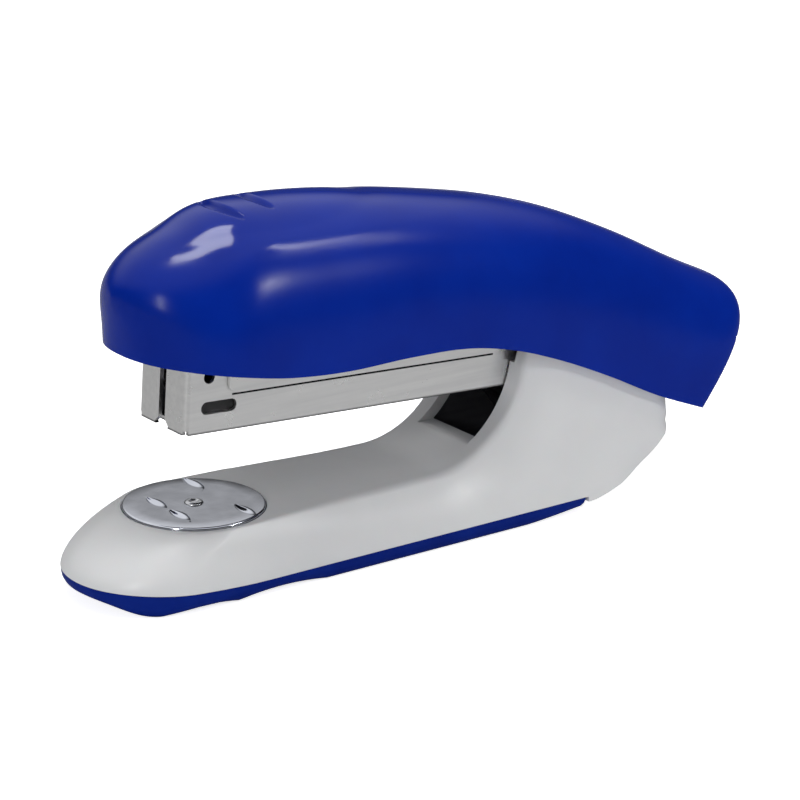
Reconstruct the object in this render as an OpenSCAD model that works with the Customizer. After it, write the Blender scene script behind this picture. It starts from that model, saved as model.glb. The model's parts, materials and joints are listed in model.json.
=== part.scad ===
// Hand-operated desk stapler for half strips of 24/6 and 26/6 staples.
// Millimetres. -X is the nose, +X the hinge end, +Z up, the desk is z = 0.
// "u" is the distance behind the front face of the staple channel.

/* [Overall] */
// Distance from the origin to the front face of the staple channel
channel_front = 55.4; // [50:0.1:60]
// Nose-up tilt of the magazine at rest, degrees
rest_tilt = 3.3; // [2:0.1:4]

/* [Hinge] */
// Distance of the hinge pin behind the channel front
pin_u = 100; // [98:0.5:102]
// Height of the hinge pin above the desk
pin_z = 33.2; // [32.5:0.1:34]
// Radius of the hinge pin
pin_r = 2; // [1.5:0.1:2.5]
// Radial running clearance of every pivot
run_gap = 0.05; // [0.02:0.01:0.1]

/* [Magazine] */
// Outer width of the staple channel
channel_w = 14.8; // [14.4:0.1:15]
// Sheet thickness of the channel
channel_t = 0.8; // [0.6:0.1:0.9]
// Height of the channel walls
channel_h = 15; // [14:0.5:16]
// Depth of the channel floor below the pin
channel_drop = 9.05; // [8.5:0.05:9.5]
// Width of the slot between the two folded front plates
front_slot = 2; // [1.5:0.1:3]
// Outer width of the staple crown
crown_w = 12.9; // [12.7:0.1:13]
// Leg length of the staples
leg_len = 6; // [4:0.5:6]

/* [Handle] */
// Wall of the handle cover
cover_wall = 2; // [1.6:0.1:2.2]
// Thickness of the steel lever
lever_t = 1; // [0.8:0.1:1]
// Thickness of the driver blade
blade_t = 0.6; // [0.5:0.05:0.7]
// Half of the drive stroke, degrees
half_stroke = 2.3; // [2:0.1:2.3]

/* [Base] */
// Half width of the base at its lower edge
base_half = 16.3; // [15.5:0.1:17]
// Height of the seam between pad and shell
seam_z = 3.1; // [2.8:0.1:3.5]
// Height of the arm's top face
arm_z = 13.4; // [13:0.1:13.6]
// Wall of the base shell
base_wall = 2.2; // [1.8:0.1:2.6]
// Inner face of the two uprights
upright_in = 10; // [10:0.1:10.2]
// Radius of the anvil disc
anvil_r = 13; // [12:0.1:13.2]
// Distance of the anvil's centre behind the channel front
anvil_u = 6.8; // [6.5:0.1:7]
// Thickness of the anvil disc
anvil_t = 1.5; // [1.2:0.1:1.6]

/* [Hidden] */
$fn = 64;
eps = 0.01;
big = 200;

steel = [0.66, 0.67, 0.68];
spring_steel = [0.5, 0.51, 0.53];
blue = [0.03, 0.13, 0.48];
blue_dark = [0.0, 0.13, 0.46];
white = [0.82, 0.82, 0.84];

// Magazine frame: origin on the hinge pin, tilted with the magazine
front_x = -(pin_u * cos(rest_tilt) - 0.19);
channel_z0 = -channel_drop;
channel_z1 = channel_z0 + channel_h;
channel_half = channel_w / 2;
channel_in = channel_half - channel_t;
floor_top = channel_z0 + channel_t;
plate_back = front_x + channel_t;
rail_front = plate_back + 1.5;
rail_half = crown_w / 2 - 0.85;
rail_top = floor_top + leg_len - 0.25;
rail_back = -9;
frame_in = channel_half + 0.05;
frame_t = 0.8;
frame_front = front_x + 8.6;
frame_back = -31;
frame_z0 = channel_z0 + 7;
frame_z1 = channel_z1 + 0.2;
rod_z = 2.2;
rod_r = 0.8;
stop_x = -12;
pusher_front = rail_front + 0.15;
pusher_len = 12;
pusher_back = pusher_front + pusher_len;
eye_front = pusher_front + 3;
eye_back = pusher_front + 8;

// Handle frame: the same as the magazine frame at rest
lever_in = channel_half + 0.25;
lever_out = lever_in + lever_t;
lever_front = rail_front + 0.4;
lever_front_z = 18.5;
blade_mid = (plate_back + rail_front) / 2;
rivet_z = 11.6;
blade_top = lever_front_z - pin_u * sin(half_stroke) - 0.1;
screw_xs = [-72, -30];

// Base frame ears stand just outside the lever's ears
ear_in = lever_out + 0.15;
ear_out = ear_in + 1;
frame_plate_z = 6;
frame_plate_t = 1.2;
clip_in = 12.6;
clip_t = 0.6;
stud_r = 1.25;
foot_screws = [[24, 7], [24, -7], [56, 7], [56, -7]];

// ---------- frames ----------

// Base parts: x counts from the channel front
module from_front() {
    translate([-channel_front, 0, 0]) children();
}

// Magazine and lever parts: origin on the hinge pin, tilted with the magazine
module at_pin() {
    from_front() translate([pin_u, 0, pin_z]) rotate([0, rest_tilt, 0]) children();
}

// ---------- general shapes ----------

// Side profile in (x, z) given a width in y, centred on y = 0
module slab(width) {
    translate([0, width / 2, 0]) rotate([90, 0, 0]) linear_extrude(width) children();
}

// Cylinder along y, centred
module cross_rod(r, length) {
    rotate([90, 0, 0]) cylinder(r = r, h = length, center = true);
}

// Box with a corner at (x, z) and centred on y = 0
module bar(x0, x1, half, z0, z1) {
    translate([x0, -half, z0]) cube([x1 - x0, 2 * half, z1 - z0]);
}

// Copies on both sides of the middle plane
module both_sides() {
    children();
    mirror([0, 1, 0]) children();
}

function arc(centre, r, from, to, steps) =
    [for (i = [0 : steps]) let (a = from + (to - from) * i / steps) centre + r * [cos(a), sin(a)]];

// Value at x of a smooth curve through [x, value] stations
function slope_at(t, i) =
    let (a = max(i - 1, 0), b = min(i + 1, len(t) - 1)) (t[b][1] - t[a][1]) / (t[b][0] - t[a][0]);
function span_at(t, x, i = 0) = i >= len(t) - 2 || x <= t[i + 1][0] ? i : span_at(t, x, i + 1);
function curve_at(t, x) =
    let (
        i = span_at(t, x),
        h = t[i + 1][0] - t[i][0],
        s = (x - t[i][0]) / h
    )
    (2 * pow(s, 3) - 3 * pow(s, 2) + 1) * t[i][1]
    + (pow(s, 3) - 2 * pow(s, 2) + s) * h * slope_at(t, i)
    + (3 * pow(s, 2) - 2 * pow(s, 3)) * t[i + 1][1]
    + (pow(s, 3) - pow(s, 2)) * h * slope_at(t, i + 1);
function signed_pow(v, p) = sign(v) * pow(abs(v), p);

// Closed wire coil along z: helix of radius r, wire radius w, from 0 to height
module coil(r, w, height, turns, steps = 10, sides = 5) {
    n = turns * steps;
    rise = height - 2 * w;
    ring = [for (i = [0 : n]) let (a = 360 * i / steps, z = w + rise * i / n)
        [for (k = [0 : sides - 1]) let (b = 360 * k / sides)
            [(r + w * cos(b)) * cos(a), (r + w * cos(b)) * sin(a), z + w * sin(b)]]];
    points = [for (loop = ring) for (p = loop) p];
    skin = [for (i = [0 : n - 1]) for (k = [0 : sides - 1]) for (half = [0, 1])
        let (m = (k + 1) % sides, a = i * sides, b = a + sides)
        half == 0 ? [a + k, a + m, b + m] : [a + k, b + m, b + k]];
    start_cap = [for (k = [0 : sides - 1]) sides - 1 - k];
    end_cap = [for (k = [0 : sides - 1]) n * sides + k];
    polyhedron(points, concat(skin, [start_cap, end_cap]), convexity = 10);
}

// ---------- base ----------

// Front wall of the uprights: quarter hollow rising out of the arm
sweep_centre = [52.5, arm_z + 20.2];
sweep_r = 20.6;
upright_side = concat(
    [[24, arm_z], [44, arm_z - 0.3]],
    arc(sweep_centre, sweep_r, -90, -8, 12),
    [[74.5, 35], [77, 39.5], [80, 40.5], [92, 40.5]],
    arc([99, pin_z], 5.8, 75, 0, 4),
    [[107.8, 20], [108.3, 16.5], [108.4, 13.5], [107.6, 9.4], [106.6, 7.2], [104.5, 4.6], [101.5, 3.6]],
    [[98, 3], [92, 1.9], [86.2, 2], [86.2, seam_z]]
);
rear_u = 108.6;
rear_corner = 2.6;
nose_side = [[-17.9, seam_z], [-17.8, 4.8], [-16.2, 7.2], [-12.6, 10.3], [-8.5, 12.6], [-5.5, arm_z]];

// Cross-section of the base: full at the bottom, drawn in towards the top
side_law = [[16.3, seam_z], [16.1, 5.5], [15.4, 8], [14.5, 10], [13.6, 12], [13.4, 13.4], [13.8, 27],
    [13, 33.5], [11.4, 37.2], [11.2, 41.5]];

// Window in the front wall: the channel passes below, the lever's ears above
window_half = channel_half + 0.3;
ear_window_half = lever_out + 0.4;
sill_z = 15.9;
ear_sill_z = 30.5;

module base_outline(inset) {
    r = base_half - inset;
    circle_u = base_half - 17.9;
    translate([circle_u, 0]) circle(r = r);
    translate([circle_u, -r]) square([96 - circle_u - inset, 2 * r]);
    for (s = [-1, 1]) translate([96 - inset, s * (r - 10)]) circle(r = 10);
    translate([80, -(r - 10)]) square([26 - inset, 2 * (r - 10)]);
}

module base_blank() {
    intersection() {
        difference() {
            slab(2 * base_half) polygon(concat(nose_side, upright_side));
            // the lower edge of both sides climbs towards the rear face
            both_sides() translate([0, 31, 0]) rotate([90, 0, 0]) linear_extrude(20) polygon([
                [86.2, -1], [86.2, 2], [88, 2.1], [90.5, 2.7], [94.3, 3.9], [99.8, 6.5], [104.8, 9.6],
                [106.6, 11.5], [108, 14], [112, 14], [112, -1]
            ]);
        }
        linear_extrude(60) base_plan();
        rotate([90, 0, 90]) translate([0, 0, -30]) linear_extrude(160)
            polygon(concat(
                [for (p = side_law) p],
                [for (i = [len(side_law) - 1 : -1 : 0]) [-side_law[i][0], side_law[i][1]]],
                [[-16.3, 0], [16.3, 0]]
            ));
    }
}

// Plan of the base: the pad's outline, then straight back to small rear corners
module base_plan() {
    base_outline(0);
    translate([84, -base_half]) square([rear_u - rear_corner - 84, 2 * base_half]);
    translate([84, rear_corner - base_half]) square([rear_u - 84, 2 * (base_half - rear_corner)]);
    for (s = [-1, 1]) translate([rear_u - rear_corner, s * (base_half - rear_corner)]) circle(r = rear_corner);
}

cavity_half = base_half - base_wall - 1.8;
cavity_z = arm_z - base_wall - 0.6;

// Plan of the hollow: round at the nose like the base itself
module cavity_plan() {
    nose_u = base_half - 17.9;
    translate([nose_u, 0]) circle(r = cavity_half);
    translate([nose_u, -cavity_half]) square([120, 2 * cavity_half]);
}

module base_shell() {
    color(white) from_front() difference() {
        base_blank();
        // hollow underside, closed again behind the pad
        intersection() {
            slab(2 * cavity_half) polygon([
                [-13.5, -1], [-13.5, 4.6], [-9.5, 7.6], [-4, cavity_z],
                [105, cavity_z], [105, 5.9], [102.6, 5.9], [101, 4.7], [84, 4.7], [84, -1]
            ]);
            translate([0, 0, -2]) linear_extrude(20) cavity_plan();
        }
        // bay between the uprights behind the front wall, open above
        slab(2 * upright_in) polygon(concat(
            [[105, cavity_z - 0.4], [57, cavity_z - 0.4]],
            arc(sweep_centre, sweep_r + base_wall, -78, -8, 10),
            [[77, 35], [80, 60], [112, 60], [112, 12], [105, 12]]
        ));
        bar(50, 90, window_half, sill_z, 60);
        bar(50, 90, ear_window_half, ear_sill_z, 60);
        // seat of the anvil disc and the hole for its stud
        translate([anvil_u, 0, arm_z + 0.5 - anvil_t]) cylinder(r = anvil_r + 0.15, h = 10);
        translate([anvil_u, 0, 0]) cylinder(r = stud_r + run_gap, h = 20);
        // hinge pin bores with room for the clips
        translate([pin_u, 0, pin_z]) cross_rod(pin_r + run_gap, big);
        both_sides() translate([pin_u, 30 + clip_in - 0.05, pin_z]) cross_rod(4.2, 60);
    }
    // bosses for the screws that hold the frame
    color(white) from_front() for (p = foot_screws)
        translate([p[0], p[1], 0]) difference() {
            translate([0, 0, frame_plate_z + frame_plate_t])
                cylinder(r = 2.8, h = arm_z - base_wall - frame_plate_z - frame_plate_t + 0.4);
            cylinder(r = 1.25, h = 11);
        }
}

module base_pad() {
    color(blue_dark) from_front() difference() {
        intersection() {
            linear_extrude(seam_z) base_outline(0.1);
            slab(2 * base_half) polygon([
                [-17.6, seam_z], [-17.2, 2.2], [-16, 0.8], [-14.2, 0], [72, 0], [85.5, 1.2], [86, seam_z]
            ]);
        }
        // two shallow grip hollows across the underside
        for (g = [[-1.1, 40], [15.6, 60]])
            translate([g[0], 0, -g[1] + 0.8]) cross_rod(g[1], big);
        // finger hole over the anvil knob
        translate([anvil_u, 0, -1]) cylinder(r = 7, h = 10);
    }
}

module base_frame() {
    half = ear_out;
    color(steel) from_front() {
        difference() {
            union() {
                bar(10, 104, half, frame_plate_z, frame_plate_z + frame_plate_t);
                translate([anvil_u, 0, frame_plate_z]) cylinder(r = half, h = frame_plate_t);
            }
            translate([anvil_u, 0, 0]) cylinder(r = stud_r + run_gap, h = 20);
            for (p = foot_screws) translate([p[0], p[1], 0]) cylinder(r = 1.3, h = 20);
            for (x = [92, 98]) translate([x, 0, 0]) cylinder(r = 1.25, h = 20);
        }
        both_sides() translate([0, ear_in, 0]) difference() {
            translate([0, 1, 0]) rotate([90, 0, 0]) linear_extrude(1) polygon(concat(
                [[68, frame_plate_z], [104, frame_plate_z]],
                arc([pin_u, pin_z], 5.5, 0, 180, 16),
                [[90, 29.5]],
                arc(sweep_centre, sweep_r + base_wall + 0.6, -14, -48, 8)
            ));
            translate([pin_u, 0, pin_z]) cross_rod(pin_r + run_gap, 10);
        }
    }
}

module base_screws() {
    color(spring_steel) from_front() for (p = foot_screws) translate([p[0], p[1], 0]) {
        translate([0, 0, frame_plate_z - 1.2]) difference() {
            cylinder(r = 2.4, h = 1.2);
            translate([0, 0, -eps]) bar(-2, 2, 0.35, 0, 0.6);
            bar(-0.35, 0.35, 2, -eps, 0.6);
        }
        translate([0, 0, frame_plate_z]) cylinder(r = 1.2, h = 4.4);
    }
}

module hinge_pin() {
    groove = clip_t + 0.1;
    color(spring_steel) from_front() translate([pin_u, 0, pin_z]) difference() {
        cross_rod(pin_r, 2 * 13.8);
        both_sides() translate([0, clip_in + groove / 2 - 0.05, 0]) rotate([90, 0, 0]) difference() {
            cylinder(r = pin_r + 1, h = groove, center = true);
            cylinder(r = pin_r - 0.5, h = groove + 1, center = true);
        }
    }
}

module hinge_clips() {
    color(spring_steel) from_front() both_sides()
        translate([pin_u, clip_in + clip_t, pin_z]) rotate([90, 0, 0]) difference() {
            cylinder(r = 3.7, h = clip_t);
            translate([0, 0, -1]) cylinder(r = pin_r - 0.47, h = 3);
            translate([-1.3, -6, -1]) cube([2.6, 6, 3]);
        }
}

// Leaf spring from the frame's floor up to the underside of the channel
leaf_foot = frame_plate_z + frame_plate_t;
leaf_mid = concat([[100, leaf_foot], [89, leaf_foot]], arc([89, leaf_foot + 7], 7, -95, -165, 6),
    [[78, 18.5], [74.5, 22.6]], arc([71.6, 22.7], 2.5, 20, 130, 6));

module lift_spring() {
    half_w = 4;
    t = 0.5;
    color(spring_steel) from_front() difference() {
        slab(2 * half_w) for (i = [0 : len(leaf_mid) - 2]) leaf_piece(leaf_mid[i], leaf_mid[i + 1], t);
        for (x = [92, 98]) translate([x, 0, 0]) cylinder(r = 1.25, h = 10);
    }
}

module leaf_piece(a, b, t) {
    d = (b - a) / norm(b - a);
    n = [d[1], -d[0]];
    e = d * 0.08;
    polygon([a - e, b + e, b + e + n * t, a - e + n * t]);
}

module spring_rivets() {
    color(steel) from_front() for (x = [92, 98]) translate([x, 0, 0]) {
        translate([0, 0, frame_plate_z - 0.8]) cylinder(r = 2.1, h = 0.8);
        translate([0, 0, frame_plate_z]) cylinder(r = 1.2, h = frame_plate_t + 0.5);
        translate([0, 0, frame_plate_z + frame_plate_t + 0.5]) cylinder(r = 2.1, h = 0.9);
    }
}

// ---------- anvil ----------

// Trough with round ends, its long side along y
module crimp_groove(x, y0, y1) {
    r = 2.2;
    depth = 0.55;
    half_w = sqrt(r * r - pow(r - depth, 2));
    intersection() {
        translate([x, 0, arm_z + 0.5 + r - depth]) cross_rod(r, big);
        translate([x - half_w, y0, arm_z - 1]) cube([2 * half_w, y1 - y0, 3]);
    }
}

module anvil_disc() {
    color([0.6, 0.6, 0.64]) from_front() difference() {
        translate([anvil_u, 0, arm_z + 0.5 - anvil_t]) cylinder(r = anvil_r, h = anvil_t);
        // closing grooves: an inward pair under the staple, an outward pair behind
        both_sides() crimp_groove(anvil_u - 5.5, 0.5, 7);
        both_sides() crimp_groove(anvil_u + 5.5, 4.8, 11.4);
        translate([anvil_u, 0, 0]) cylinder(r = 1.3, h = 20);
    }
}

module anvil_stud() {
    top = arm_z + 0.5;
    color(spring_steel) from_front() translate([anvil_u, 0, 0]) {
        translate([0, 0, top]) cylinder(r1 = 1.75, r2 = 1.2, h = 0.35);
        translate([0, 0, 3]) cylinder(r = stud_r, h = top - 3);
    }
}

module anvil_knob() {
    color([0.1, 0.1, 0.11]) from_front() translate([anvil_u, 0, 0]) difference() {
        union() {
            translate([0, 0, 1]) cylinder(r = 6, h = 1.8);
            translate([0, 0, 2.8]) cylinder(r = 2.6, h = 0.6);
        }
        translate([0, 0, 2.95]) cylinder(r = 1.3, h = 5);
        for (a = [0 : 30 : 330]) rotate([0, 0, a]) translate([6.6, 0, 0]) cylinder(r = 1, h = 8);
    }
}

module anvil_spring() {
    color(spring_steel) from_front() translate([anvil_u, 0, 3.45])
        coil(2.1, 0.25, frame_plate_z - 3.5, 3);
}

// ---------- magazine ----------

module magazine_channel() {
    slot_x = front_x + 7.1;
    slot_z = channel_z0 + 4.6;
    slot_r = 1.15;
    fold_r = 1.1;
    color(steel) at_pin() difference() {
        union() {
            bar(front_x, -7, channel_half, channel_z0, channel_z1);
            cross_rod(7.2, channel_w);
            bar(-9, 0, channel_half, -7.2, 6);
        }
        // inside of the U
        bar(plate_back, big, channel_in, floor_top, big);
        // staples leave through the floor at the front
        bar(plate_back, rail_front, channel_in, -big, big);
        // slot between the folded plates
        bar(front_x - 1, plate_back + 1, front_slot / 2, -big, big);
        // the slot flares where the staple leaves
        translate([front_x - 1, 0, channel_z0 - front_slot * 0.9]) rotate([45, 0, 0])
            cube([channel_t + 1.5, front_slot * 1.5, front_slot * 1.5]);
        // rounded folds and the corner notch under each
        both_sides() difference() {
            translate([front_x - 1, channel_half - fold_r, -big / 2]) cube([fold_r + 1, fold_r + 1, big]);
            translate([front_x + fold_r, channel_half - fold_r, -big / 2]) cylinder(r = fold_r, h = big);
        }
        both_sides() translate([front_x - 1, channel_half - 0.9, channel_z0 - 1]) cube([1.9, 2, 1.8]);
        // round and oval windows in the sides, and the frame rivets
        translate([front_x + 4.8, 0, 1.2]) cross_rod(slot_r, big);
        for (s = [-1, 1]) translate([slot_x + s * 2.6, 0, slot_z]) cross_rod(slot_r, big);
        bar(slot_x - 2.6, slot_x + 2.6, big / 2, slot_z - slot_r, slot_z + slot_r);
        for (p = rivet_spots) translate([p[0], 0, p[1]]) cross_rod(1.15, big);
        // floor stops short of the hinge
        bar(-13, 20, channel_in, -big, big);
        cross_rod(pin_r + run_gap, big);
    }
}

rivet_spots = [[frame_front + 6, 2.6], [frame_back - 4, 2.6]];

module frame_side() {
    r = 1.8;
    polygon(concat(
        [[frame_back, frame_z1], [frame_back + 3, frame_z0 + 4], [frame_back, frame_z0], [frame_front + r, frame_z0]],
        arc([frame_front + r, frame_z0 + r], r, -90, -180, 5),
        [[frame_front, frame_z1]]
    ));
}

module magazine_frame() {
    top_t = 0.8;
    color(steel) at_pin() {
        both_sides() translate([0, frame_in, 0]) difference() {
            translate([0, frame_t, 0]) rotate([90, 0, 0]) linear_extrude(frame_t) frame_side();
            for (p = rivet_spots) translate([p[0], 0, p[1]]) cross_rod(1.15, 10);
        }
        difference() {
            bar(-48, frame_back, frame_in + frame_t, frame_z1, frame_z1 + top_t);
            translate([-41, 0, 0]) cylinder(r = 1, h = 20);
        }
    }
}

module channel_rivets() {
    head = 0.25;
    outer = frame_in + frame_t;
    color(spring_steel) at_pin() both_sides() for (p = rivet_spots)
        translate([p[0], 0, p[1]]) rotate([-90, 0, 0]) {
            translate([0, 0, channel_in - head]) cylinder(r = 1.8, h = head);
            translate([0, 0, channel_in]) cylinder(r = 1.1, h = outer - channel_in);
            translate([0, 0, outer]) cylinder(r1 = 1.6, r2 = 1.3, h = 0.2);
        }
}

module staple_rail() {
    t = 0.8;
    color(steel) at_pin() difference() {
        bar(rail_front, -16, rail_half, floor_top, rail_top);
        bar(rail_front - 1, -15, rail_half - t, floor_top - 1, rail_top - t);
        // notch that lets the driven staple clear the rail's corner
        bar(rail_front - 1, rail_front + 0.8, 3, -big, floor_top + 2);
    }
}

module pusher_rod() {
    color(spring_steel) at_pin() translate([0, 0, rod_z]) rotate([0, 90, 0])
        translate([0, 0, rail_front + 2.6]) cylinder(r = rod_r, h = stop_x + 2 - rail_front - 2.6);
    color(spring_steel) at_pin() translate([rail_front + 1.6, 0, rod_z]) rotate([0, 90, 0])
        cylinder(r1 = 1.1, r2 = rod_r, h = 1);
}

// Bent plate across the channel that carries the rod's rear end
module rod_stop() {
    color(steel) at_pin() difference() {
        union() {
            bar(stop_x - 1, stop_x, channel_in, floor_top, rod_z + 2.4);
            bar(stop_x - 5, stop_x - 0.5, rail_half - 1, rail_top, rail_top + 0.8);
        }
        translate([0, 0, rod_z]) rotate([0, 90, 0]) cylinder(r = rod_r + 0.05, h = big, center = true);
        bar(stop_x - 2, stop_x + 1, rail_half + 0.1, floor_top - 1, rail_top - 0.9);
    }
}

module staple_pusher() {
    leg_in = rail_half + 0.1;
    leg_out = channel_in - 0.15;
    color([0.15, 0.15, 0.16]) at_pin() difference() {
        union() {
            bar(pusher_front, pusher_back, leg_out, floor_top + 0.3, rail_top + 1.1);
            bar(eye_front, eye_back, 3.2, rail_top + 0.5, rod_z + 2);
        }
        bar(pusher_front - 1, pusher_back + 1, leg_in, -big, rail_top + 0.1);
        translate([0, 0, rod_z]) rotate([0, 90, 0]) cylinder(r = rod_r + 0.06, h = big, center = true);
    }
}

module pusher_spring() {
    start = eye_back + 0.05;
    color(spring_steel) at_pin() translate([start, 0, rod_z]) rotate([0, 90, 0])
        coil(1.45, 0.25, stop_x - 1.05 - start, 18, steps = 8);
}

// ---------- handle ----------

// Cover sections along the handle: station, rim x, rim z, lean, height, half width, squareness
cover_law = [
    [-8.4, -8.4, 45.8, 0, 22.4, 16.5, 2.1],
    [-2, -2, 43.9, 0, 24.4, 17.6, 2.2],
    [6, 6, 42.2, 0, 26.5, 18.1, 2.2],
    [16, 16, 40.6, 0, 28, 18.2, 2.3],
    [28, 28, 39.9, 1, 28.2, 18, 2.3],
    [42, 42, 39.6, 4, 26.9, 17.5, 2.4],
    [56, 55, 38.6, 9, 25.6, 17.1, 2.4],
    [68, 66, 36.3, 15, 25.5, 17, 2.4],
    [80, 77.5, 32.2, 21, 26, 17, 2.5],
    [92, 90, 26.6, 27, 26.2, 17, 2.6],
    [104, 102, 20.6, 33, 26.2, 17, 2.9],
    [116, 114.2, 15.6, 38, 26, 17, 3.2]
];
cover_l0 = cover_law[0][0];
cover_l1 = cover_law[len(cover_law) - 1][0];

function law(k, l) = curve_at([for (s = cover_law) [s[0], s[k]]], l);
function round_off(q, p) = pow(1 - pow(0.985 * min(max(q, 0), 1), p), 1 / p);
function ease(q, p, low) = low + (1 - low) * round_off(q, p);
function cover_w(l) = law(5, l) * round_off((cover_l0 + 20 - l) / 20, 2.3) * ease((l - cover_l1 + 4) / 4, 2.4, 0.97);
function cover_h(l) = law(4, l) * ease((cover_l0 + 26 - l) / 26, 2.3, 0.3) * ease((l - cover_l1 + 5) / 5, 2.2, 0.88);
// Point of the cover's skin at station l and arch angle t, moved in by inset
function cover_point(l, t, inset) =
    let (
        e = 2 / law(6, l),
        y = (cover_w(l) - inset) * signed_pow(sin(t), e),
        v = (cover_h(l) - inset) * signed_pow(cos(t), e),
        a = law(3, l)
    )
    [law(1, l) + v * sin(a), y, law(2, l) + v * cos(a)];

module cover_skin() {
    rows = 26;
    cols = 16;
    function station(i, inset) =
        let (s = (1 - cos(180 * i / rows)) / 2) cover_l0 + inset + (cover_l1 - cover_l0 - 2 * inset) * s;
    function grid(inset) = [for (i = [0 : rows]) for (j = [0 : cols])
        cover_point(station(i, inset), -90 + 180 * j / cols, inset)];
    w = cols + 1;
    n = (rows + 1) * w;
    function patch(base, flip) = [for (i = [0 : rows - 1]) for (j = [0 : cols - 1])
        let (q = [base + i * w + j, base + (i + 1) * w + j, base + (i + 1) * w + j + 1, base + i * w + j + 1])
        flip ? [q[3], q[2], q[1], q[0]] : q];
    function row_cap(base, flip) = flip ? [for (j = [cols : -1 : 0]) base + j] : [for (j = [0 : cols]) base + j];
    rims = concat(
        [for (i = [0 : rows - 1]) [(i + 1) * w, n + (i + 1) * w, n + i * w, i * w]],
        [for (i = [0 : rows - 1]) [i * w + cols, n + i * w + cols, n + (i + 1) * w + cols, (i + 1) * w + cols]]
    );
    last = rows * w;
    end_rims = [[n, n + cols, cols, 0], [n + last + cols, n + last, last, last + cols]];
    polyhedron(
        concat(grid(0), grid(cover_wall)),
        concat(
            patch(0, true), patch(n, false), rims, end_rims,
            [row_cap(0, true), row_cap(last, false), row_cap(n, false), row_cap(n + last, true)]
        ),
        convexity = 6
    );
}

module handle_cover() {
    boss_r = 2.6;
    color(blue) {
        from_front() difference() {
            cover_skin();
            // the rear wall is open below, so it clears the base when the handle is lifted
            slab(2 * 14.75) polygon([
                [pin_u + 8, 0], [pin_u + 40, 0], [pin_u + 40, pin_z - 40 * tan(20)], [pin_u + 8, pin_z - 8 * tan(20)]
            ]);
        }
        at_pin() for (i = [0, 1]) let (x = screw_xs[i], foot = lever_top(x) + 0.25) difference() {
            translate([x, 0, foot]) cylinder(r = boss_r, h = boss_tops[i] - foot);
            translate([x, 0, 0]) cylinder(r = 1.1, h = foot + 6);
        }
    }
}

// Heights at which the two bosses end inside the cover's crown
boss_tops = [29.8, 25];

// Top face of the lever falls from its front to its rear
lever_back_z = 11.5;
function lever_top(x) = lever_back_z + (lever_front_z - lever_back_z) * (-20 - x) / (-20 - lever_front);

module lever_side() {
    polygon(concat(
        [[lever_front, lever_front_z], [lever_front, lever_front_z - 2.6], [-30, 10.4], [-22, 0], [-12, -4]],
        arc([0, 0], 6, -120, 60, 14),
        [[-6, lever_top(-20) - 1.5], [-20, lever_top(-20)]]
    ));
}

module handle_lever() {
    color(steel) at_pin() difference() {
        union() {
            both_sides() translate([0, lever_out, 0]) rotate([90, 0, 0]) linear_extrude(lever_t) lever_side();
            // top web joining the two sides
            slab(2 * lever_out) polygon([
                [lever_front, lever_front_z], [-20, lever_top(-20)], [-20, lever_top(-20) - lever_t],
                [lever_front, lever_front_z - lever_t]
            ]);
            // tab that carries the blade
            blade_frame() translate([blade_t / 2 + 0.02, -5.6, 9.2]) cube([1.2, 11.2, blade_top - 9.2]);
        }
        for (x = screw_xs) translate([x, 0, 0]) cylinder(r = 1.3, h = 40);
        blade_frame() for (y = [-3, 3]) translate([0, y, rivet_z]) rotate([0, 90, 0])
            cylinder(r = 1.05, h = 10, center = true);
        cross_rod(pin_r + run_gap, big);
    }
}

// Blade frame: upright at mid stroke, so it leans back by half a stroke at rest
module blade_frame() {
    rotate([0, half_stroke, 0]) translate([blade_mid, 0, 0]) children();
}

module driver_blade() {
    half_w = channel_in - 0.3;
    color(spring_steel) at_pin() difference() {
        blade_frame() translate([-blade_t / 2, -half_w, -5]) cube([blade_t, 2 * half_w, blade_top + 5]);
        blade_frame() for (y = [-3, 3]) translate([0, y, rivet_z]) rotate([0, 90, 0])
            cylinder(r = 1.05, h = 10, center = true);
    }
}

module blade_rivets() {
    color(steel) at_pin() blade_frame() for (y = [-3, 3]) translate([0, y, rivet_z]) rotate([0, 90, 0]) {
        translate([0, 0, -blade_t / 2 - 0.3]) cylinder(r1 = 1.2, r2 = 1.6, h = 0.3);
        translate([0, 0, -blade_t / 2]) cylinder(r = 1, h = blade_t + 1.22);
        translate([0, 0, blade_t / 2 + 1.22]) cylinder(r = 1.6, h = 0.4);
    }
}

module cover_screws() {
    color(spring_steel) at_pin() for (x = screw_xs) translate([x, 0, 0]) {
        seat = lever_top(x) - lever_t - 0.55;
        translate([0, 0, seat - 1]) difference() {
            cylinder(r = 2.2, h = 1);
            bar(-2, 2, 0.35, -eps, 0.5);
            bar(-0.35, 0.35, 2, -eps, 0.5);
        }
        translate([0, 0, seat - 0.3]) cylinder(r = 1.05, h = 6.8);
    }
}

module drive_spring() {
    x = -41;
    z0 = frame_z1 + 0.85;
    color(spring_steel) at_pin() translate([x, 0, z0])
        coil(3, 0.4, lever_top(x) - lever_t - z0 - 0.25, 3);
}

base_shell();
base_pad();
base_frame();
base_screws();
hinge_pin();
hinge_clips();
lift_spring();
spring_rivets();
anvil_disc();
anvil_stud();
anvil_knob();
anvil_spring();
magazine_channel();
magazine_frame();
channel_rivets();
staple_rail();
pusher_rod();
rod_stop();
staple_pusher();
pusher_spring();
handle_cover();
handle_lever();
cover_screws();
driver_blade();
blade_rivets();
drive_spring();
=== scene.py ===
"""Looks of the desk stapler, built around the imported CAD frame.

Lengths are in millimetres until a mesh reaches Blender, which takes metres.
"u" is the distance behind the front face of the staple channel, as in the CAD.
"""

import json
import math

import bmesh
import bpy
import numpy as np
from mathutils import Matrix, Vector


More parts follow.
